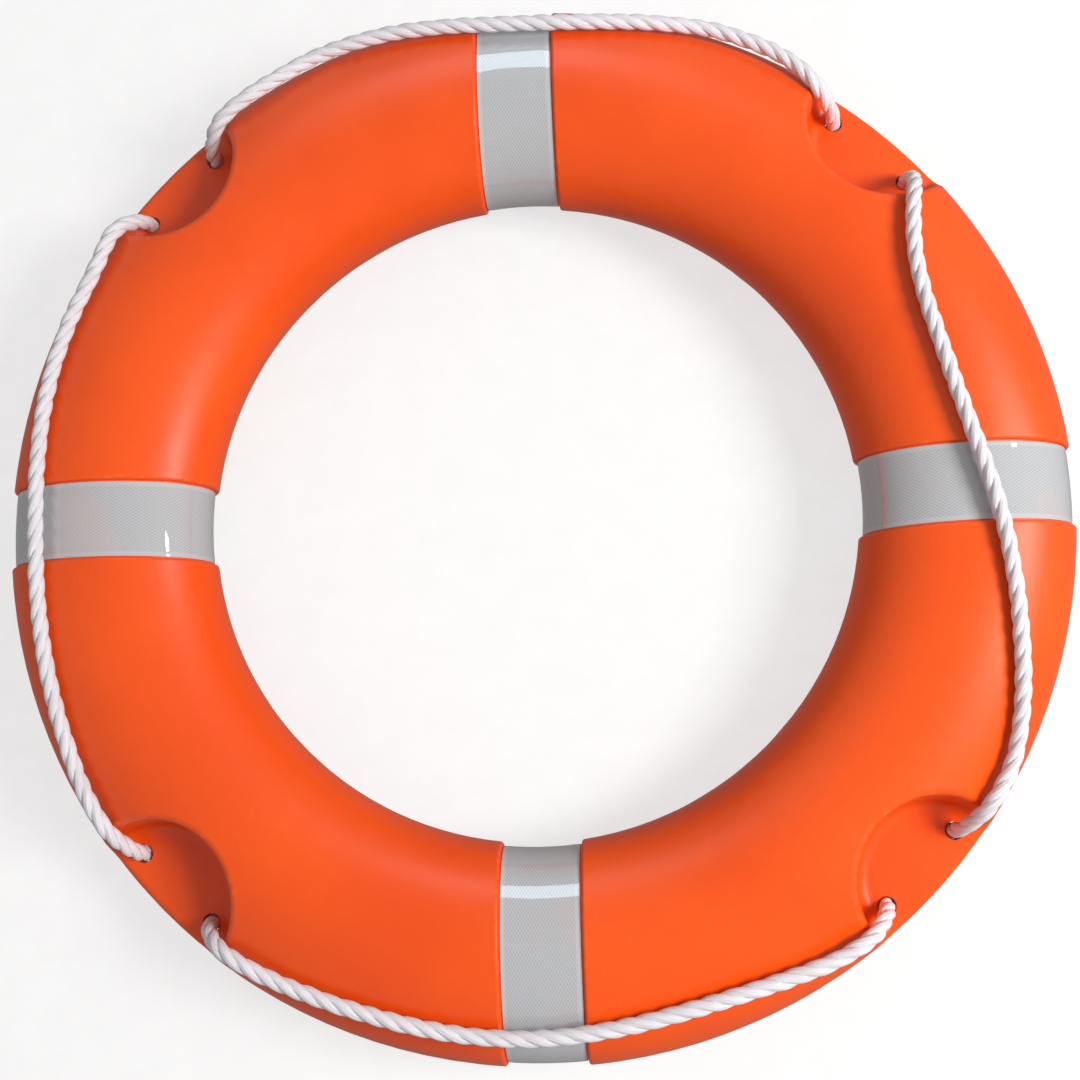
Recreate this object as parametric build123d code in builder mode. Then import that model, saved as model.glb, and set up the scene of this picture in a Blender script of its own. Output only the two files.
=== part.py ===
from build123d import *
from math import cos, isclose, pi, radians, sin, tan
import os

os.makedirs("parts", exist_ok=True)

# A ring lifebuoy lying flat. Its axis is Z, and the origin is the ring's centre at half its thickness.
# The shell, its foam core and the tapes repeat every quarter turn, so each is made as one quarter first.

# Ring
outside_diameter = 720.0
inside_diameter = 440.0
thickness = 105.0
wall = 2.5
section_centre = (outside_diameter + inside_diameter) / 4      # radius of the circle the section follows
section_half_width = (outside_diameter - inside_diameter) / 4
section_half_height = thickness / 2

# Pockets: a half-moon sunk into both faces on each diagonal, down to the web left between them
pocket_centre = 353.0
pocket_floor_radius = 49.0
pocket_draft = 8.0
pocket_foot_radius = 10.0
pocket_lip_radius = 5.0
web = 12.0

# Two holes through each web carry the grab line
line_hole_circle = 344.0
line_hole_diameter = 11.6
line_hole_angle = 5.4                 # each side of the diagonal
line_hole_rounding = 1.0

# Reflective tapes, each sunk in a groove round the section
tape_width = 50.0
tape_thickness = 0.5
groove_depth = 3.0
groove_clearance = 1.0                # each side of the tape
groove_rounding = 2.0
tape_arc = 20                         # degrees of ring that hold the whole width of a tape
tapes = {"tape_right": 0, "tape_top": 90, "tape_left": 180, "tape_bottom": 270}

# Two ports in the back: a flat seat on a boss inside the wall, with a plug pushed in
port_section_angle = 235.0            # where the ports are round the section, from its outermost point
seat_depth = 1.8
seat_clearance = 0.5                  # all round the plug's head
boss_thickness = 5.0
boss_margin = 3.0                     # all round the plug's head
plug_head_lap = 4.0                   # of the head over the bore, all round
plug_head_thickness = 2.4
plug_head_rounding = 1.2
plug_rib = 0.8
plug_rib_height = 2.0
plug_tip = 3.0
plugs = {"filler_plug": (112.0, 24.0), "vent_plug": (292.0, 14.0)}     # angle round the ring, bore diameter

# Grab line and the sleeve that joins its ends
line_diameter = 10.5
line_bend_share = 0.45                # of the shorter run, that an arc takes at each end
sleeve_length = 26.0
sleeve_wall = 1.4
sleeve_clearance = 0.4
sleeve_rounding = 0.6

# Route of the grab line: angle round the ring in degrees, distance from its axis, height. It runs
# clockwise from the sleeve, through every hole in turn, and back to the sleeve.
line_route = [
    # From the sleeve, behind the flange at 135 degrees, to the first hole
    (134.9, 344.0, -17.0), (132.6, 344.0, -17.0), (130.9, 344.0, -16.0), (129.6, 344.0, -8.0),
    # Top loop
    (129.5, 343.7, 12.0), (128.7, 344.3, 27.0), (126.7, 345.5, 42.0), (122.8, 346.0, 45.5),
    (119.0, 349.5, 41.0), (113.5, 353.0, 37.0), (106.0, 347.0, 42.0), (98.0, 336.5, 48.5),
    (89.5, 330.0, 51.0), (81.0, 333.0, 50.0), (73.5, 343.5, 43.5), (67.0, 356.5, 33.0),
    (61.0, 358.0, 33.5), (56.7, 351.0, 39.0), (53.6, 344.5, 40.5), (51.8, 344.0, 28.0),
    (50.5, 344.0, 12.0),
    # Behind the flange at 45 degrees
    (50.4, 344.0, -8.0), (49.1, 344.0, -16.0), (46.5, 344.0, -17.0), (43.5, 344.0, -17.0),
    (40.9, 344.0, -16.0), (39.6, 344.0, -8.0),
    # Right loop, slack over the crown
    (39.5, 343.5, 12.0), (38.8, 340.0, 28.0), (37.7, 332.5, 46.0), (35.4, 316.5, 59.0),
    (30.6, 297.0, 61.0), (25.5, 287.5, 60.0), (19.0, 283.0, 59.0), (11.5, 282.5, 59.0),
    (4.0, 287.5, 59.5), (-4.0, 298.0, 59.3), (-11.5, 309.0, 57.5), (-19.0, 322.5, 54.0),
    (-25.5, 336.0, 48.0), (-31.2, 346.0, 43.0), (-35.8, 346.0, 45.0), (-38.2, 345.0, 29.0),
    (-39.5, 344.0, 12.0),
    # Behind the flange at -45 degrees
    (-39.6, 344.0, -8.0), (-40.9, 344.0, -16.0), (-43.5, 344.0, -17.0), (-46.5, 344.0, -17.0),
    (-49.1, 344.0, -16.0), (-50.4, 344.0, -8.0),
    # Bottom loop
    (-50.5, 344.0, 12.0), (-51.8, 345.0, 29.0), (-54.2, 346.0, 45.0), (-58.8, 343.5, 45.5),
    (-65.0, 336.0, 49.3), (-73.0, 331.5, 51.0), (-82.0, 332.5, 50.3), (-91.0, 335.0, 49.0),
    (-100.0, 335.5, 48.7), (-108.5, 336.0, 48.3), (-116.0, 339.0, 46.3), (-121.2, 342.0, 45.8),
    (-125.8, 343.7, 46.0), (-128.3, 343.8, 29.5), (-129.5, 344.0, 12.0),
    # Behind the flange at -135 degrees
    (-129.6, 344.0, -8.0), (-130.9, 344.0, -16.0), (-133.5, 344.0, -17.0), (-136.5, 344.0, -17.0),
    (-139.1, 344.0, -16.0), (-140.4, 344.0, -8.0),
    # Left loop
    (-140.5, 344.0, 12.0), (-141.8, 343.5, 29.0), (-144.2, 342.5, 45.5), (-149.0, 340.0, 47.3),
    (-155.5, 334.5, 49.6), (-163.0, 330.0, 51.5), (-171.0, 326.0, 53.0), (-179.5, 324.0, 53.5),
    (-188.0, 327.5, 52.5), (-196.0, 332.5, 50.0), (-203.5, 335.0, 49.3), (-210.6, 335.5, 49.5),
    (-215.7, 342.5, 47.5), (-218.3, 343.7, 29.5), (-219.5, 344.0, 12.0),
    # Behind the first flange again, back into the sleeve
    (-219.6, 344.0, -8.0), (-220.9, 344.0, -16.0), (-222.6, 344.0, -17.0), (-224.9, 344.0, -17.0),
]


def quarter_ring(inset):
    """A quarter of the plain ring, set in from its outside by the same distance all round."""
    with BuildPart() as ring:
        with BuildSketch(Plane.XZ):
            with Locations((section_centre, 0)):
                Ellipse(section_half_width - inset, section_half_height - inset)
        revolve(axis=Axis.Z, revolution_arc=90)
    return ring.part


def pocket_plug(inset):
    """What a pair of pockets takes away, one above the other, round a vertical axis."""
    floor_height = 0 if inset else web / 2        # the web is solid, so the inner plugs meet
    floor_radius = pocket_floor_radius + inset
    top_radius = floor_radius + (thickness - floor_height) * tan(radians(pocket_draft))
    with BuildPart() as plug:
        with BuildSketch(Plane.XZ):
            with BuildLine():
                FilletPolyline(
                    (0, floor_height), (floor_radius, floor_height), (top_radius, thickness),
                    radius=pocket_foot_radius,
                )
                Polyline((top_radius, thickness), (0, thickness), (0, floor_height))
            make_face()
        revolve(axis=Axis.Z)
        mirror(about=Plane.XY)
    return plug.part


def quarter_body(inset):
    """A quarter of the ring with its grooves and pockets, set in all round."""
    groove_width = tape_width + 2 * groove_clearance + 2 * inset
    with BuildPart() as body:
        add(quarter_ring(inset))
        with BuildSketch():
            Rectangle(outside_diameter, groove_width, align=(Align.MIN, Align.CENTER))
            Rectangle(groove_width, outside_diameter, align=(Align.CENTER, Align.MIN))
        extrude(amount=thickness, both=True, mode=Mode.SUBTRACT)
        add(quarter_ring(inset + groove_depth))
        with PolarLocations(pocket_centre, 1, start_angle=45):
            add(pocket_plug(inset), mode=Mode.SUBTRACT)
    return body.part


def beside_groove(edge):
    """Whether an edge lies in a side wall of a groove, its centre no further off than the wall's rounding."""
    side = tape_width / 2 + groove_clearance
    centre = edge.center()
    return min(abs(centre.X - side), abs(centre.Y - side)) < groove_rounding


def port_plane(angle):
    """The plane of a plug's seat, facing out of the back."""
    around = radians(port_section_angle)
    radius = section_centre + section_half_width * cos(around)
    height = section_half_height * sin(around)
    outward = Vector(cos(around) / section_half_width, 0, sin(around) / section_half_height).normalized()
    seat = Vector(radius, 0, height) - outward * seat_depth
    return Plane(
        origin=seat.rotate(Axis.Z, angle),
        x_dir=Vector(0, 1, 0).rotate(Axis.Z, angle),
        z_dir=outward.rotate(Axis.Z, angle),
    )


def head_radius(bore):
    """A plug's head laps its bore all round."""
    return bore / 2 + plug_head_lap


def bosses():
    """The thick pads inside the wall that the plugs grip."""
    with BuildPart() as pads:
        for angle, bore in plugs.values():
            with BuildSketch(port_plane(angle).offset(2 * seat_depth)):
                Circle(head_radius(bore) + boss_margin)
            extrude(amount=-(2 * seat_depth + boss_thickness))
    return pads.part


def plug_room():
    """The room that the plugs' stems take up in the foam."""
    with BuildPart() as room:
        for angle, bore in plugs.values():
            with BuildSketch(port_plane(angle)):
                Circle(bore / 2 + plug_rib)
            extrude(amount=-(boss_thickness + plug_rib_height + plug_tip))
    return room.part


# Shell: one hollow moulding
with BuildPart() as quarter_shell:
    add(quarter_body(0))
    lips = quarter_shell.edges().filter_by(GeomType.BSPLINE).filter_by(beside_groove, reverse=True)
    fillet(lips, radius=pocket_lip_radius)
    groove_edges = quarter_shell.edges().filter_by(beside_groove).sort_by(SortBy.LENGTH)[-2:]
    fillet(groove_edges, radius=groove_rounding)
    with BuildSketch():
        for side in (-1, 1):
            with PolarLocations(line_hole_circle, 1, start_angle=45 + side * line_hole_angle):
                Circle(line_hole_diameter / 2)
    extrude(amount=web, both=True, mode=Mode.SUBTRACT)
    rims = quarter_shell.edges().filter_by(GeomType.CIRCLE)
    rims = rims.filter_by(lambda edge: isclose(edge.radius, line_hole_diameter / 2))
    fillet(rims, radius=line_hole_rounding)

with BuildPart() as cavity:
    with PolarLocations(0, 4):
        add(quarter_body(wall))
    add(bosses(), mode=Mode.SUBTRACT)

with BuildPart() as shell:
    with PolarLocations(0, 4):
        add(quarter_shell.part)
    add(cavity.part, mode=Mode.SUBTRACT)
    for angle, bore in plugs.values():
        with BuildSketch(port_plane(angle)):
            Circle(head_radius(bore) + seat_clearance)
        extrude(amount=2 * seat_depth, mode=Mode.SUBTRACT)
        with BuildSketch(port_plane(angle)):
            Circle(bore / 2)
        extrude(amount=-(boss_thickness + seat_depth), mode=Mode.SUBTRACT)
shell.part.label = "shell"
export_step(shell.part, "parts/shell.step")

# Core: foam that fills the shell
with BuildPart() as foam_core:
    add(cavity.part)
    add(plug_room(), mode=Mode.SUBTRACT)
foam_core.part.label = "foam_core"
export_step(foam_core.part, "parts/foam_core.step")

# Plugs: a rounded head on the seat, and a stem with a rib behind the boss
for name, (angle, bore) in plugs.items():
    with BuildPart() as plug:
        with BuildSketch(port_plane(angle)):
            Circle(head_radius(bore))
        extrude(amount=plug_head_thickness)
        outward = Axis(port_plane(angle).origin, port_plane(angle).z_dir)
        fillet(plug.edges().group_by(outward)[-1], radius=plug_head_rounding)
        with BuildSketch(port_plane(angle)):
            Circle(bore / 2)
        extrude(amount=-(boss_thickness + plug_rib_height + plug_tip))
        with BuildSketch(port_plane(angle).offset(-boss_thickness)):
            Circle(bore / 2 + plug_rib)
        extrude(amount=-plug_rib_height)
    plug.part.label = name
    export_step(plug.part, f"parts/{name}.step")

# Tapes: one band round the section in each groove
with BuildPart() as band:
    start = Vector(1, 0, 0).rotate(Axis.Z, -tape_arc / 2)
    with BuildSketch(Plane(origin=(0, 0, 0), x_dir=start, z_dir=start.cross(Vector(0, 0, 1)))):
        with Locations((section_centre, 0)):
            outer = groove_depth - tape_thickness
            Ellipse(section_half_width - outer, section_half_height - outer)
            Ellipse(section_half_width - groove_depth, section_half_height - groove_depth, mode=Mode.SUBTRACT)
    revolve(axis=Axis.Z, revolution_arc=tape_arc)
    with Locations((section_centre, 0, 0)):
        Box(outside_diameter, tape_width, 2 * thickness, mode=Mode.INTERSECT)
for name, angle in tapes.items():
    with BuildPart() as tape:
        add(band.part, rotation=(0, 0, angle))
    tape.part.label = name
    export_step(tape.part, f"parts/{name}.step")

# Grab line: straight runs joined by arcs, each arc as large as its runs allow
route_points = [Vector(radius, 0, height).rotate(Axis.Z, angle) for angle, radius, height in line_route]
bend_radii = []
for before, corner, after in zip(route_points, route_points[1:], route_points[2:]):
    shorter_run = min((corner - before).length, (after - corner).length)
    half_turn = radians((corner - before).get_angle(after - corner)) / 2
    bend_radii.append(line_bend_share * shorter_run / tan(half_turn))
print("bend radii:", [round(radius, 1) for radius in bend_radii])
with BuildPart() as grab_line:
    with BuildLine() as route:
        FilletPolyline(*route_points, radius=bend_radii)
    with BuildSketch(Plane(origin=route.line @ 0, z_dir=route.line % 0)):
        Circle(line_diameter / 2)
    sweep(path=route.line)
line_length = route.wire().length
swept_volume = pi * line_diameter**2 / 4 * line_length
print("line length:", round(line_length))
print("line volume:", round(grab_line.part.volume), "against", round(swept_volume))
grab_line.part.label = "grab_line"
export_step(grab_line.part, "parts/grab_line.step")

# Sleeve: pressed round the two ends of the line, where they meet
sleeve_middle = Plane(
    origin=(route_points[0] + route_points[-1]) / 2,
    z_dir=route_points[1] - route_points[-2],
)
with BuildPart() as line_sleeve:
    with BuildSketch(sleeve_middle):
        Circle(line_diameter / 2 + sleeve_wall)
    extrude(amount=sleeve_length / 2, both=True)
    fillet(line_sleeve.edges().filter_by(GeomType.CIRCLE), radius=sleeve_rounding)
    with BuildSketch(sleeve_middle):
        Circle(line_diameter / 2 + sleeve_clearance)
    extrude(amount=sleeve_length / 2, both=True, mode=Mode.SUBTRACT)
line_sleeve.part.label = "line_sleeve"
export_step(line_sleeve.part, "parts/line_sleeve.step")
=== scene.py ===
from math import cos, pi, radians, sin, tan

import bpy
import numpy as np
from mathutils import Matrix, Vector


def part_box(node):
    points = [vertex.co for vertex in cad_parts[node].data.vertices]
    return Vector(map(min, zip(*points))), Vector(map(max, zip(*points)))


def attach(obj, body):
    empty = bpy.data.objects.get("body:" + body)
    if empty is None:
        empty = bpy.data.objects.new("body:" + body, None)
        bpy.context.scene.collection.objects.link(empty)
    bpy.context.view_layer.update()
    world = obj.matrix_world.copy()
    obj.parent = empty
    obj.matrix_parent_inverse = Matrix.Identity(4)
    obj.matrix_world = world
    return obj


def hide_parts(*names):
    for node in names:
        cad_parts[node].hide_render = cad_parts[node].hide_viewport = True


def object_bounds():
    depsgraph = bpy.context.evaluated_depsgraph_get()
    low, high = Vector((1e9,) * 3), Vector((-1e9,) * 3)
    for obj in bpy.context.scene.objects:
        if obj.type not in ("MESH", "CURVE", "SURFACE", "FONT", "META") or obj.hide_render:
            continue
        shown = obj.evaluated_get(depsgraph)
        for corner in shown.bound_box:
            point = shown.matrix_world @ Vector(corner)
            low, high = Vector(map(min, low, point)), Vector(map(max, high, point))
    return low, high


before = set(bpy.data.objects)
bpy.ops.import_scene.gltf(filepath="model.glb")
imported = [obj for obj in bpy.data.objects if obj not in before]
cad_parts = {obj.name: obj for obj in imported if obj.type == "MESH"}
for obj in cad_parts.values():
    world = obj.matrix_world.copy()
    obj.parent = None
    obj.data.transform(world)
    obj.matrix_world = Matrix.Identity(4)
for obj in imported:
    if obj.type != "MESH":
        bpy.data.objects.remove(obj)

cad_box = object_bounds()

# Everything is in metres, in the part's own frame: the ring lies flat round Z, with its centre at the origin.
ROOT = "root"

# Ring section: its centre's distance from the axis, and the half axes of the ellipse that the tapes' faces follow
SECTION_CENTRE = 0.290
tape_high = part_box("tape_right")[1]
TAPE_OUTER_HALF_WIDTH = tape_high[0] - SECTION_CENTRE
TAPE_OUTER_HALF_HEIGHT = tape_high[2]

# Pockets on the diagonals: their axis's distance from the ring's, and a round wall that leans outwards. A flat web
# parts each front pocket from the one behind it.
POCKET_CENTRE = 0.353
POCKET_FLOOR_RADIUS = 0.049
POCKET_DRAFT = radians(8)
WEB = 0.012
GROOVE_HALF_WIDTH = 0.026          # of the grooves that the tapes lie in

# Reflective tapes, each wrapped once round the section, at an angle round the ring
TAPE_WIDTH = 0.050
TAPE_THICKNESS = 0.0005
TAPES = {"tape_right": 0, "tape_top": 90, "tape_left": 180, "tape_bottom": 270}

# Grab line: three strands laid right-handed, each with its yarns twisted the other way
LINE_DIAMETER = 0.0105
LINE_LAY = 0.040                   # from one turn of a strand to its next, along the line
STRANDS = 3
STRAND_RADIUS = 0.00332
YARNS = 9
YARN_HEIGHT = 0.00007
WANDER = 0.00010                   # how far a strand strays from its winding, and how often
WANDER_STEP = 0.03
SLEEVE_LENGTH = 0.026

# Route of the grab line: angle round the ring in degrees, distance from its axis, height. It runs
# clockwise from the sleeve, through every hole in turn, and back to the sleeve. It is the CAD tube's, but for
# the points at 119, 113.5, 106, 73.5, 67 and 61 degrees, which are set one by one, up to about 7 mm from it.
LINE_ROUTE = [
    # From the sleeve, behind the flange at 135 degrees, to the first hole
    (134.9, 0.3440, -0.0170), (132.6, 0.3440, -0.0170), (130.9, 0.3440, -0.0160), (129.6, 0.3440, -0.0080),
    # Top loop
    (129.5, 0.3437, 0.0120), (128.7, 0.3443, 0.0270), (126.7, 0.3455, 0.0420), (122.8, 0.3460, 0.0455),
    (119.0, 0.3475, 0.0425), (113.5, 0.3510, 0.0390), (106.0, 0.3460, 0.0430), (98.0, 0.3365, 0.0485),
    (89.5, 0.3300, 0.0510), (81.0, 0.3330, 0.0500), (73.5, 0.3425, 0.0440), (67.0, 0.3520, 0.0375),
    (61.0, 0.3530, 0.0385), (56.7, 0.3510, 0.0390), (53.6, 0.3445, 0.0405), (51.8, 0.3440, 0.0280),
    (50.5, 0.3440, 0.0120),
    # Behind the flange at 45 degrees
    (50.4, 0.3440, -0.0080), (49.1, 0.3440, -0.0160), (46.5, 0.3440, -0.0170), (43.5, 0.3440, -0.0170),
    (40.9, 0.3440, -0.0160), (39.6, 0.3440, -0.0080),
    # Right loop, slack over the crown
    (39.5, 0.3435, 0.0120), (38.8, 0.3400, 0.0280), (37.7, 0.3325, 0.0460), (35.4, 0.3165, 0.0590),
    (30.6, 0.2970, 0.0610), (25.5, 0.2875, 0.0600), (19.0, 0.2830, 0.0590), (11.5, 0.2825, 0.0590),
    (4.0, 0.2875, 0.0595), (-4.0, 0.2980, 0.0593), (-11.5, 0.3090, 0.0575), (-19.0, 0.3225, 0.0540),
    (-25.5, 0.3360, 0.0480), (-31.2, 0.3460, 0.0430), (-35.8, 0.3460, 0.0450), (-38.2, 0.3450, 0.0290),
    (-39.5, 0.3440, 0.0120),
    # Behind the flange at -45 degrees
    (-39.6, 0.3440, -0.0080), (-40.9, 0.3440, -0.0160), (-43.5, 0.3440, -0.0170), (-46.5, 0.3440, -0.0170),
    (-49.1, 0.3440, -0.0160), (-50.4, 0.3440, -0.0080),
    # Bottom loop
    (-50.5, 0.3440, 0.0120), (-51.8, 0.3450, 0.0290), (-54.2, 0.3460, 0.0450), (-58.8, 0.3435, 0.0455),
    (-65.0, 0.3360, 0.0493), (-73.0, 0.3315, 0.0510), (-82.0, 0.3325, 0.0503), (-91.0, 0.3350, 0.0490),
    (-100.0, 0.3355, 0.0487), (-108.5, 0.3360, 0.0483), (-116.0, 0.3390, 0.0463), (-121.2, 0.3420, 0.0458),
    (-125.8, 0.3437, 0.0460), (-128.3, 0.3438, 0.0295), (-129.5, 0.3440, 0.0120),
    # Behind the flange at -135 degrees
    (-129.6, 0.3440, -0.0080), (-130.9, 0.3440, -0.0160), (-133.5, 0.3440, -0.0170),
    (-136.5, 0.3440, -0.0170), (-139.1, 0.3440, -0.0160), (-140.4, 0.3440, -0.0080),
    # Left loop
    (-140.5, 0.3440, 0.0120), (-141.8, 0.3435, 0.0290), (-144.2, 0.3425, 0.0455), (-149.0, 0.3400, 0.0473),
    (-155.5, 0.3345, 0.0496), (-163.0, 0.3300, 0.0515), (-171.0, 0.3260, 0.0530), (-179.5, 0.3240, 0.0535),
    (-188.0, 0.3275, 0.0525), (-196.0, 0.3325, 0.0500), (-203.5, 0.3350, 0.0493), (-210.6, 0.3355, 0.0495),
    (-215.7, 0.3425, 0.0475), (-218.3, 0.3437, 0.0295), (-219.5, 0.3440, 0.0120),
    # Behind the first flange again, back into the sleeve
    (-219.6, 0.3440, -0.0080), (-220.9, 0.3440, -0.0160), (-222.6, 0.3440, -0.0170),
    (-224.9, 0.3440, -0.0170),
]


# Shader helpers ---------------------------------------------------------------------------------------------

class Nodes:
    """A material's node tree, with short calls for the nodes used here."""

    def __init__(self, name):
        self.material = bpy.data.materials.new(name)
        self.material.use_nodes = True
        self.tree = self.material.node_tree
        self.shader = self.tree.nodes["Principled BSDF"]

    def add(self, kind, inputs=(), **settings):
        """A node with these settings; a socket in inputs is linked, and any other value is set."""
        made = self.tree.nodes.new(kind)
        for name, value in settings.items():
            setattr(made, name, value)
        for name, value in dict(inputs).items():
            self.put(made.inputs[name], value)
        return made

    def put(self, socket, value):
        if isinstance(value, bpy.types.NodeSocket):
            self.tree.links.new(value, socket)
        else:
            socket.default_value = value

    def set(self, **inputs):
        """The shader's own sockets, by their names with _ for a space."""
        for name, value in inputs.items():
            self.put(self.shader.inputs[name.replace("_", " ")], value)

    def place(self):
        return self.add("ShaderNodeTexCoord").outputs["Object"]

    def uv(self):
        return self.add("ShaderNodeTexCoord").outputs["UV"]

    def split(self, vector):
        return self.add("ShaderNodeSeparateXYZ", {"Vector": vector}).outputs

    def join(self, x, y, z=0.0):
        return self.add("ShaderNodeCombineXYZ", {"X": x, "Y": y, "Z": z}).outputs[0]

    def calc(self, operation, a, b=0.0, clamp=False):
        return self.add("ShaderNodeMath", {0: a, 1: b}, operation=operation, use_clamp=clamp).outputs[0]

    def stretch(self, vector, scale):
        return self.add("ShaderNodeMapping", {"Vector": vector, "Scale": scale}).outputs[0]

    def noise(self, vector, scale, detail=3.0, rough=0.5):
        inputs = {"Vector": vector, "Scale": scale, "Detail": detail, "Roughness": rough}
        return self.add("ShaderNodeTexNoise", inputs).outputs["Fac"]

    def fit(self, value, low, high, to_low=0.0, to_high=1.0):
        """value from low to high, taken smoothly to to_low to to_high."""
        inputs = {0: value, 1: low, 2: high, 3: to_low, 4: to_high}
        return self.add("ShaderNodeMapRange", inputs, interpolation_type="SMOOTHSTEP").outputs[0]

    def blend(self, share, a, b):
        """Colour a at share 0, and b at share 1."""
        mix = self.add("ShaderNodeMix", data_type="RGBA")
        for socket, value in zip((mix.inputs[0], mix.inputs[6], mix.inputs[7]), (share, a, b)):
            self.put(socket, value)
        return mix.outputs[2]

    def bump(self, height, distance, strength=1.0, normal=None):
        inputs = {"Height": height, "Distance": distance, "Strength": strength}
        if normal is not None:
            inputs["Normal"] = normal
        return self.add("ShaderNodeBump", inputs).outputs[0]


def rgb(red, green, blue):
    """A colour from its usual 0 to 255 values."""
    return tuple((c / 255) ** 2.2 for c in (red, green, blue)) + (1.0,)


# Mesh helpers -----------------------------------------------------------------------------------------------

def grid_mesh(name, points, uvs=None, close_rows=False, close_columns=False):
    """A mesh of quads over points[row, column], which may close on itself either way."""
    rows, columns = points.shape[:2]
    row = np.arange(rows if close_rows else rows - 1)
    column = np.arange(columns if close_columns else columns - 1)
    r, c = (a.ravel() for a in np.meshgrid(row, column, indexing="ij"))
    r2, c2 = (r + 1) % rows, (c + 1) % columns
    quads = np.stack([r * columns + c, r * columns + c2, r2 * columns + c2, r2 * columns + c], 1)
    mesh = bpy.data.meshes.new(name)
    mesh.from_pydata(points.reshape(-1, 3).tolist(), [], quads.tolist())
    if uvs is not None:
        # A quad that closes a turn takes its far corners' coordinates one turn on
        far = [(r, c), (r, c + 1), (r + 1, c + 1), (r + 1, c)]
        corners = np.stack([uvs[a, b] for a, b in far], 1)
        mesh.uv_layers.new(name="UVMap").data.foreach_set("uv", corners.astype(np.float32).ravel())
    mesh.shade_smooth()
    return mesh


def object_of(mesh, *materials):
    made = bpy.data.objects.new(mesh.name, mesh)
    bpy.context.scene.collection.objects.link(made)
    for material in materials:
        mesh.materials.append(material)
    return made


def joined(name, meshes):
    """One mesh of several, which keep their materials' order and coordinates."""
    parts = [bpy.data.objects.new(name, mesh) for mesh in meshes]
    for part in parts:
        bpy.context.scene.collection.objects.link(part)
    with bpy.context.temp_override(active_object=parts[0], selected_editable_objects=parts):
        bpy.ops.object.join()
    parts[0].data.name = name
    return parts[0]


# Camera -----------------------------------------------------------------------------------------------------

CAMERA_PLACE = (0.0629, -0.1647, 0.9257)
CAMERA_AHEAD = (-0.0619, 0.1554, -0.9859)
CAMERA_UP = (0.0419, 0.9873, 0.1530)
CAMERA_SENSOR, CAMERA_LENS = 36, 46.1        # millimetres


def make_camera():
    """Nearly straight above the ring, and a little nearer to its bottom edge."""
    camera = bpy.data.objects.new("camera", bpy.data.cameras.new("camera"))
    bpy.context.scene.collection.objects.link(camera)
    forward = Vector(CAMERA_AHEAD).normalized()
    right = forward.cross(Vector(CAMERA_UP)).normalized()
    turn = Matrix((right, right.cross(forward), -forward)).transposed()
    camera.matrix_world = Matrix.Translation(CAMERA_PLACE) @ turn.to_4x4()
    camera.data.sensor_width = CAMERA_SENSOR
    camera.data.lens = CAMERA_LENS
    bpy.context.scene.camera = camera


# Grab line --------------------------------------------------------------------------------------------------

LINE_STEP = 0.0014       # from one ring of a strand's points to the next


def route_point(angle, radius, height):
    around = radians(angle)
    return Vector((radius * cos(around), radius * sin(around), height))


def line_path():
    """Points at even steps along the line's smooth route, and how far along it they lie."""
    curve = bpy.data.curves.new("line_path", "CURVE")
    curve.dimensions = "3D"
    spline = curve.splines.new("NURBS")
    spline.points.add(len(LINE_ROUTE) - 1)
    for point, place in zip(spline.points, LINE_ROUTE):
        point.co = (*route_point(*place), 1)
    spline.order_u = 3
    spline.use_endpoint_u = True
    spline.resolution_u = 24
    holder = bpy.data.objects.new("line_path", curve)
    mesh = bpy.data.meshes.new_from_object(holder)
    dense = np.array([v.co for v in mesh.vertices])
    bpy.data.objects.remove(holder)
    bpy.data.meshes.remove(mesh)
    along = np.concatenate([[0], np.cumsum(np.linalg.norm(np.diff(dense, axis=0), axis=1))])
    places = np.linspace(0, along[-1], round(along[-1] / LINE_STEP) + 1)
    return np.stack([np.interp(places, along, dense[:, i]) for i in range(3)], 1), places


def directions(path):
    """The unit direction in which a path runs at each of its points."""
    forward = np.gradient(path, axis=0)
    return forward / np.linalg.norm(forward, axis=1)[:, None]


def side_frames(forward):
    """Two sides for each direction, square to it, that don't twist along the path."""
    side = np.cross(forward[0], (0, 0, 1.0))
    sides = []
    for ahead in forward:
        side = side - ahead * (side @ ahead)
        side = side / np.linalg.norm(side)
        sides.append(side)
    sides = np.array(sides)
    return sides, np.cross(forward, sides)


def strand_mesh(index, path, places):
    """One strand of the line: a plump tube wound round the path, with its yarns twisted the other way."""
    random = np.random.default_rng(40 + index)
    winding_radius = LINE_DIAMETER / 2 - STRAND_RADIUS
    forward = directions(path)
    side, up = side_frames(forward)
    turn = 2 * pi * (places / LINE_LAY + index / STRANDS)
    outward = side * np.cos(turn)[:, None] + up * np.sin(turn)[:, None]
    knots = np.arange(0, places[-1] + WANDER_STEP, WANDER_STEP)
    wander = np.interp(places, knots, random.normal(0, WANDER, len(knots)))
    centre = path + outward * (winding_radius + wander)[:, None]
    ahead = directions(centre)
    outward = outward - ahead * (outward * ahead).sum(1)[:, None]
    outward /= np.linalg.norm(outward, axis=1)[:, None]
    across = np.cross(ahead, outward)
    lean = 2 * pi * winding_radius / LINE_LAY        # slope of the strand against the line
    yarn_turn = places * lean / STRAND_RADIUS
    sides = 2 * YARNS
    around = 2 * pi * np.arange(sides) / sides - yarn_turn[:, None]
    yarn = np.where(np.arange(sides) % 2, -1, 1) * YARN_HEIGHT
    # The strand swells and thins a little as it goes
    plump = STRAND_RADIUS * (1 + 0.02 * np.sin(places * 210 + index))[:, None] + yarn
    ring = outward[:, None] * (plump * np.cos(around))[..., None]
    ring = ring + across[:, None] * (plump * np.sin(around))[..., None]
    points = centre[:, None] + ring
    u = np.repeat(places[:, None] + index * 3.3, sides + 1, 1)
    v = np.repeat(np.arange(sides + 1)[None] / sides, len(places), 0)
    return grid_mesh(f"strand_{index}", points, np.stack([u, v], 2), close_columns=True)


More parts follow.
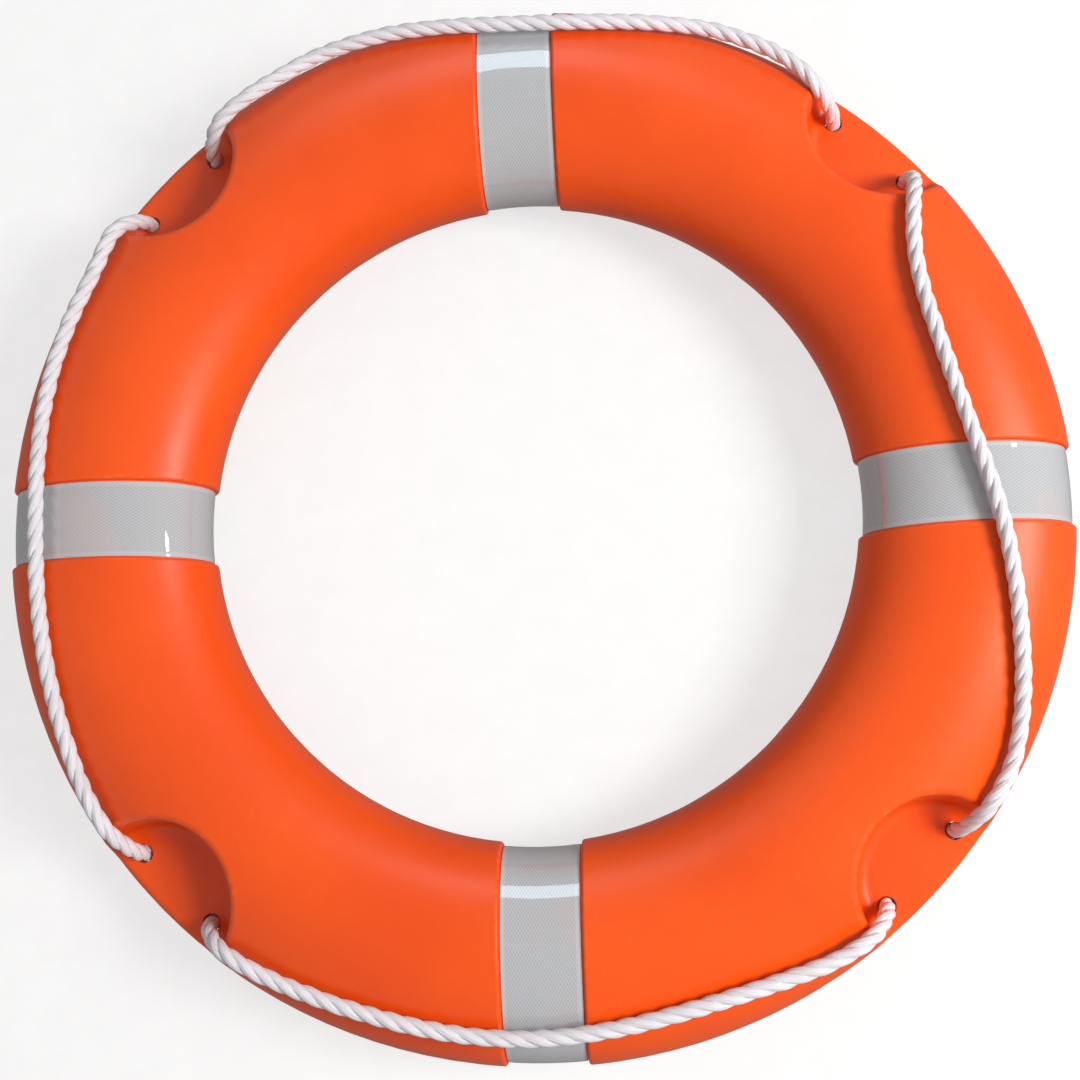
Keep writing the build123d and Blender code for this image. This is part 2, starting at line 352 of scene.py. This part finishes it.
def rope_material():
    n = Nodes("rope_fibre")
    u, v, _ = n.split(n.uv())
    along = n.join(n.calc("MULTIPLY", u, 120), n.calc("MULTIPLY", v, 60))
    fibres = n.noise(along, 1.0, 4, 0.65)
    yarn = n.calc("ABSOLUTE", n.calc("SINE", n.calc("MULTIPLY", v, pi * YARNS)))
    soil = n.noise(n.place(), 30, 4, 0.6)
    clean = n.blend(n.fit(fibres, 0.3, 0.7), rgb(200, 198, 203), rgb(230, 229, 235))
    worn = n.blend(n.fit(soil, 0.5, 0.75, 0, 0.35), clean, rgb(188, 178, 174))
    n.set(Base_Color=worn, Roughness=n.fit(fibres, 0.2, 0.8, 0.55, 0.75))
    n.set(Sheen_Weight=0.25, Sheen_Roughness=0.4)
    n.set(Subsurface_Weight=0.12, Subsurface_Radius=(1.0, 1.0, 1.0), Subsurface_Scale=0.002)
    coarse = n.bump(yarn, 0.0003, 0.5)
    n.set(Normal=n.bump(fibres, 0.00025, 0.6, coarse))
    return n.material


def make_line():
    path, places = line_path()
    line = joined("grab_rope", [strand_mesh(i, path, places) for i in range(STRANDS)])
    line.data.materials.append(rope_material())
    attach(line, ROOT)
    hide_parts("grab_line")
    return line, path, places[-1]


SLEEVE_GAP, SLEEVE_WALL = 0.00005, 0.00105
SLEEVE_FLARE, CRIMP_DEPTH, SWIRL_HEIGHT = 0.00035, 0.00025, 0.00012
CRIMPS = (-0.5, 0, 0.5)            # in half lengths of the sleeve, from its middle


def sleeve_material():
    n = Nodes("sleeve_rubber")
    place = n.place()
    grain = n.noise(place, 900, 4, 0.6)
    pale_patches = n.fit(n.noise(place, 120, 5, 0.7), 0.5, 0.75)
    n.set(Base_Color=n.blend(pale_patches, rgb(24, 24, 26), rgb(58, 57, 58)))
    n.set(Roughness=n.fit(grain, 0.3, 0.7, 0.42, 0.62), Normal=n.bump(grain, 0.0002, 0.5))
    return n.material


def make_sleeve():
    """A shrunk tube with three crimps, that takes on the strands' lay and flares at its lips."""
    start, end = route_point(*LINE_ROUTE[0]), route_point(*LINE_ROUTE[-1])
    ahead = (route_point(*LINE_ROUTE[1]) - route_point(*LINE_ROUTE[-2])).normalized()
    middle = (start + end) / 2
    side = ahead.cross(Vector((0, 0, 1))).normalized()
    up = side.cross(ahead)
    reach = np.linspace(-1, 1, 61)
    around = 2 * pi * np.arange(48) / 48
    inner_radius = LINE_DIAMETER / 2 + SLEEVE_GAP
    lips = SLEEVE_FLARE * np.exp(-((1 - np.abs(reach)) / 0.06) ** 2)
    crimps = CRIMP_DEPTH * sum(np.exp(-((reach - at) / 0.07) ** 2) for at in CRIMPS)
    swirl = np.cos(STRANDS * (around[None] - reach[:, None] * SLEEVE_LENGTH / 2 / LINE_LAY * 2 * pi))
    skin = inner_radius + SLEEVE_WALL + lips[:, None] - crimps[:, None] + SWIRL_HEIGHT * swirl
    bore = np.full_like(skin, inner_radius)
    radius = np.concatenate([skin, bore[::-1]])
    place = np.concatenate([reach, reach[::-1]]) * SLEEVE_LENGTH / 2
    points = np.array(middle) + place[:, None, None] * np.array(ahead)
    points = points + (radius * np.cos(around))[..., None] * np.array(side)
    points = points + (radius * np.sin(around))[..., None] * np.array(up)
    sleeve = object_of(grid_mesh("sleeve", points, close_rows=True, close_columns=True), sleeve_material())
    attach(sleeve, ROOT)
    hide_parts("line_sleeve")
    return sleeve


# Reflective tapes -------------------------------------------------------------------------------------------

CELL = TAPE_WIDTH / 24             # from one cell of the film to the next, across the tape
CELL_ROWS = CELL * 3 ** 0.5        # two rows of cells, set half a cell apart
CELL_HEIGHT = 0.00004
TAPE_HEM = 0.0028                  # the sealed edge with no cells, and how far it lies below them
HEM_DEPTH = 0.00006
TAPE_EDGE = 0.0002                 # the width of the points' outermost columns
TAPE_BACK_GAP = 0.00003            # between the tape and its groove
TAPE_START = 0.66                  # where the tape starts, as a share of the way round the section, at the back
TAPE_LAP = 0.016                   # how much of the tape's end lies on its start, and how it climbs there
LAP_CLIMB = 0.004
LAP_HEIGHT = 0.8                   # in thicknesses of the tape


def tape_rows():
    """Angles round the section at even distances along the tape, from its start at the back to its lap."""
    fine = np.linspace(0, 2 * pi, 4001)
    x, z = TAPE_OUTER_HALF_WIDTH * np.cos(fine), TAPE_OUTER_HALF_HEIGHT * np.sin(fine)
    along = np.concatenate([[0], np.cumsum(np.hypot(np.diff(x), np.diff(z)))])
    start = TAPE_START * along[-1]
    length = along[-1] + TAPE_LAP
    rows = np.arange(0, length, CELL_ROWS / 4)
    return np.interp((start + rows) % along[-1], along, fine), rows


def tape_mesh(name):
    """The tape at angle 0: its embossed face, its edges and its back, as one closed band."""
    section, rows = tape_rows()
    half = TAPE_WIDTH / 2
    width = np.arange(-half, half + CELL / 4, CELL / 2)
    width = np.sort(np.append(width, (TAPE_EDGE - half, half - TAPE_EDGE)))    # keeps the edges crisp
    raised = np.sin(rows * 2 * pi / CELL_ROWS)[:, None] * np.cos(width * 2 * pi / CELL)
    inside = (np.abs(width) < half - TAPE_HEM)[None]
    lift = np.where(inside, raised * CELL_HEIGHT, -HEM_DEPTH)
    climb = np.clip((rows - rows[-1] + TAPE_LAP + LAP_CLIMB) / LAP_CLIMB, 0, 1)
    lap = climb[:, None] * TAPE_THICKNESS * LAP_HEIGHT
    front = lift + lap - CELL_HEIGHT
    back = np.full_like(front, -TAPE_THICKNESS + TAPE_BACK_GAP) + lap
    depth = np.concatenate([back[:, :1], front, back[:, ::-1]], 1)
    across = np.concatenate([width[:1], width, width[::-1]])
    ring = SECTION_CENTRE + (TAPE_OUTER_HALF_WIDTH + depth) * np.cos(section)[:, None]
    x = np.sqrt(ring**2 - across[None] ** 2)
    z = (TAPE_OUTER_HALF_HEIGHT + depth) * np.sin(section)[:, None]
    points = np.stack([x, np.broadcast_to(across, x.shape), z], 2)
    u = np.broadcast_to(rows[:, None], x.shape)
    v = np.broadcast_to(across[None], x.shape)
    uvs = np.stack([u, v], 2)
    uvs = np.concatenate([uvs, uvs[:, :1]], 1)
    return grid_mesh(name, points, uvs, close_columns=True)


def tape_material():
    n = Nodes("reflective_film")
    u, v, _ = n.split(n.uv())
    along = n.calc("SINE", n.calc("MULTIPLY", u, 2 * pi / CELL_ROWS))
    across = n.calc("COSINE", n.calc("MULTIPLY", v, 2 * pi / CELL))
    cells = n.calc("MULTIPLY", along, across)
    edge = n.calc("ABSOLUTE", v)
    hem = n.fit(edge, TAPE_WIDTH / 2 - TAPE_HEM - 0.0004, TAPE_WIDTH / 2 - TAPE_HEM)
    streaks = n.noise(n.join(n.calc("MULTIPLY", u, 240), n.calc("MULTIPLY", v, 14)), 1.0, 3, 0.6)
    cloud = n.noise(n.place(), 22, 3, 0.5)
    stain = n.noise(n.place(), 9, 3, 0.6)
    silver = n.blend(n.fit(cells, -0.7, 0.5), rgb(164, 167, 170), rgb(184, 187, 190))
    silver = n.blend(n.fit(streaks, 0.55, 0.8, 0, 0.3), silver, rgb(206, 196, 196))
    silver = n.blend(n.fit(cloud, 0.45, 0.7, 0, 0.35), silver, rgb(176, 178, 180))
    silver = n.blend(n.fit(stain, 0.55, 0.7, 0, 0.3), silver, rgb(206, 172, 170))
    n.set(Base_Color=n.blend(hem, silver, rgb(186, 188, 191)), Metallic=0.1)
    n.set(Roughness=n.fit(streaks, 0.3, 0.7, 0.42, 0.55))
    n.set(Coat_Weight=1.0, Coat_Roughness=0.03, Coat_IOR=1.9)
    shape = n.calc("MULTIPLY", cells, n.calc("SUBTRACT", 1.0, hem))
    n.set(Normal=n.bump(shape, 0.00006, 0.5))
    ripple = n.noise(n.place(), 40, 2, 0.4)
    n.set(Coat_Normal=n.bump(ripple, 0.0005, 0.3))
    return n.material


def make_tapes():
    material = tape_material()
    for name, angle in TAPES.items():
        tape = object_of(tape_mesh(name + "_film"), material)
        tape.data.transform(Matrix.Rotation(radians(angle), 4, "Z"))
        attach(tape, ROOT)
        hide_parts(name)


# Shell, plugs and core --------------------------------------------------------------------------------------

def shell_material():
    """Orange plastic with a faint orange-peel skin, paler along its edges from rubbed wear and a painted
    highlight, and scratched in places.
    """
    n = Nodes("shell_polyethylene")
    place = n.place()
    x, y, z = n.split(place)
    x, y, z = (n.calc("ABSOLUTE", value) for value in (x, y, z))
    # Distance from the nearest pocket's wall, seen from above
    centre = POCKET_CENTRE * cos(pi / 4)
    from_axis = n.add(
        "ShaderNodeVectorMath",
        {0: n.join(n.calc("SUBTRACT", x, centre), n.calc("SUBTRACT", y, centre))},
        operation="LENGTH",
    ).outputs["Value"]
    wall = n.calc("MULTIPLY_ADD", z, tan(POCKET_DRAFT))
    wall.node.inputs[2].default_value = POCKET_FLOOR_RADIUS - WEB / 2 * tan(POCKET_DRAFT)
    lip = n.fit(n.calc("ABSOLUTE", n.calc("SUBTRACT", from_axis, wall)), 0.0, 0.006, 1, 0)
    lip = n.calc("MULTIPLY", lip, n.fit(z, 0.012, 0.03))
    groove_rim = GROOVE_HALF_WIDTH + 0.001
    groove = n.calc(
        "MINIMUM",
        n.calc("ABSOLUTE", n.calc("SUBTRACT", x, groove_rim)),
        n.calc("ABSOLUTE", n.calc("SUBTRACT", y, groove_rim)),
    )
    groove = n.fit(groove, 0.0, 0.0025, 1, 0)
    edges = n.calc("MAXIMUM", lip, groove)
    cloud = n.noise(place, 7, 4, 0.55)
    fine = n.noise(place, 340, 4, 0.6)
    peel = n.noise(place, 95, 2, 0.5)
    # Pale patches along the pockets' lips and the grooves' rims: partly rubbed wear, partly a painted highlight on
    # the rounded edges; they also roughen the surface
    pale_patches = n.calc("MULTIPLY", edges, n.fit(n.noise(place, 160, 5, 0.75), 0.5, 0.68))
    scratch = n.noise(n.stretch(place, (900, 60, 160)), 1.0, 2, 0.5)
    scratch = n.calc("MULTIPLY", n.fit(scratch, 0.7, 0.78), n.fit(n.noise(place, 9, 2), 0.5, 0.62))
    body = n.blend(n.fit(cloud, 0.3, 0.7), rgb(226, 75, 10), rgb(236, 83, 13))
    # Painted highlight and rubbed wear: the edges' pale patches lighten the orange
    body = n.blend(n.calc("MULTIPLY", pale_patches, 0.3), body, rgb(246, 130, 84))
    body = n.blend(n.calc("MULTIPLY", scratch, 0.25), body, rgb(246, 140, 98))
    n.set(Base_Color=body, Specular_IOR_Level=0.5)
    rough = n.calc("ADD", n.fit(cloud, 0.3, 0.7, 0.34, 0.42), n.calc("MULTIPLY", pale_patches, 0.2))
    n.set(Roughness=n.calc("ADD", rough, n.calc("MULTIPLY", scratch, 0.15), clamp=True))
    smooth = n.bump(peel, 0.0005, 0.25)
    n.set(Normal=n.bump(fine, 0.0001, 0.3, smooth))
    return n.material


def plug_material():
    n = Nodes("plug_plastic")
    place = n.place()
    grain = n.noise(place, 1400, 3, 0.6)
    cloud = n.noise(place, 60, 3, 0.5)
    n.set(Base_Color=n.blend(n.fit(cloud, 0.3, 0.7), rgb(226, 70, 20), rgb(242, 84, 30)))
    n.set(Roughness=n.fit(grain, 0.3, 0.7, 0.4, 0.52), Normal=n.bump(grain, 0.0001, 0.5))
    return n.material


def foam_material():
    n = Nodes("foam_cells")
    cells = n.add("ShaderNodeTexVoronoi", {"Vector": n.place(), "Scale": 700.0})
    depth = cells.outputs["Distance"]
    # Painted shade: each foam cell is darker towards its sunken middle, the low point of the bump that the same
    # distance drives
    n.set(Base_Color=n.blend(n.fit(depth, 0.1, 0.7), rgb(196, 170, 118), rgb(236, 220, 180)))
    n.set(Roughness=0.9, Normal=n.bump(depth, 0.0008, 0.8))
    return n.material


def dress(node, material):
    """Gives a CAD node that stays its material."""
    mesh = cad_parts[node].data
    mesh.materials.clear()
    mesh.materials.append(material)


# Floor and light --------------------------------------------------------------------------------------------

FLOOR_REACH = 30.0                 # from the ring's axis
FLOOR_GLOW = 0.7                   # keeps the floor nearly white, and still lets a soft shadow show
WINDOW_DISTANCE = 2.2
ROOM_SLOPE = (-0.35, 0.3)          # heights on the unit sphere between which the room brightens
ROOM_LIGHT = (0.30, 0.46)          # its strength below and above them
ROOM_TINT = (1.0, 0.96, 0.96, 1)
WARM, COOL = (1.0, 0.99, 0.97), (0.72, 0.88, 1.0)


def make_stage():
    low = cad_box[0][2]
    sides = (-FLOOR_REACH, FLOOR_REACH)
    corners = np.array([[(x, y, low) for x in sides] for y in sides])
    floor = object_of(grid_mesh("floor", corners))
    n = Nodes("floor_paint")
    speckle = n.noise(n.place(), 40, 4, 0.6)
    paint = n.blend(n.fit(speckle, 0.3, 0.7), rgb(252, 252, 252), rgb(255, 255, 255))
    n.set(Base_Color=rgb(136, 136, 136), Roughness=0.9)
    n.set(Emission_Color=paint, Emission_Strength=FLOOR_GLOW)
    floor.data.materials.append(n.material)
    floor.visible_diffuse = False
    floor.visible_glossy = False


def make_window(name, azimuth, elevation, width, height, power, colour):
    """A soft light that faces the ring, from an azimuth counted from +X towards +Y."""
    around, above = radians(azimuth), radians(elevation)
    direction = Vector((cos(around) * cos(above), sin(around) * cos(above), sin(above)))
    light = bpy.data.lights.new(name, "AREA")
    light.shape = "RECTANGLE"
    light.size, light.size_y = width, height
    light.energy = power
    light.color = colour
    holder = bpy.data.objects.new(name, light)
    holder.location = direction * WINDOW_DISTANCE
    holder.rotation_mode = "QUATERNION"
    holder.rotation_quaternion = direction.to_track_quat("Z", "Y")
    bpy.context.scene.collection.objects.link(holder)
    return holder


def make_world():
    """A soft room: bright overhead, and darker towards the floor."""
    world = bpy.data.worlds.new("room")
    world.use_nodes = True
    tree = world.node_tree
    place = tree.nodes.new("ShaderNodeTexCoord")
    split = tree.nodes.new("ShaderNodeSeparateXYZ")
    ramp = tree.nodes.new("ShaderNodeMapRange")
    for socket, value in zip(list(ramp.inputs)[1:5], ROOM_SLOPE + ROOM_LIGHT):
        socket.default_value = value
    background = tree.nodes["Background"]
    background.inputs["Color"].default_value = ROOM_TINT
    tree.links.new(place.outputs["Generated"], split.inputs[0])
    tree.links.new(split.outputs["Z"], ramp.inputs[0])
    tree.links.new(ramp.outputs[0], background.inputs["Strength"])
    bpy.context.scene.world = world


def make_light():
    make_world()
    bpy.context.scene.view_settings.view_transform = "Standard"
    # The light that shades the ring, the broad gloss on its shell, and two windows that the tapes mirror
    key = make_window("key", -8, 46, 0.8, 0.8, 52, WARM)
    key.visible_glossy = False
    gloss = make_window("gloss", 4, 38, 0.7, 0.7, 20, WARM)
    receivers = bpy.data.collections.new("glossy_moulding")
    receivers.objects.link(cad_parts["shell"])
    gloss.light_linking.receiver_collection = receivers
    small = make_window("window_right", 19, 38, 0.16, 0.16, 1.0, WARM)
    far = make_window("window_far", 94, 38, 1.0, 0.62, 6.5, COOL)
    for window in (gloss, small, far):
        window.visible_diffuse = False


make_camera()
line, line_points, line_length = make_line()
sleeve = make_sleeve()
make_tapes()
dress("shell", shell_material())
for plug in ("filler_plug", "vent_plug"):
    dress(plug, plug_material())
dress("foam_core", foam_material())
make_stage()
make_light()
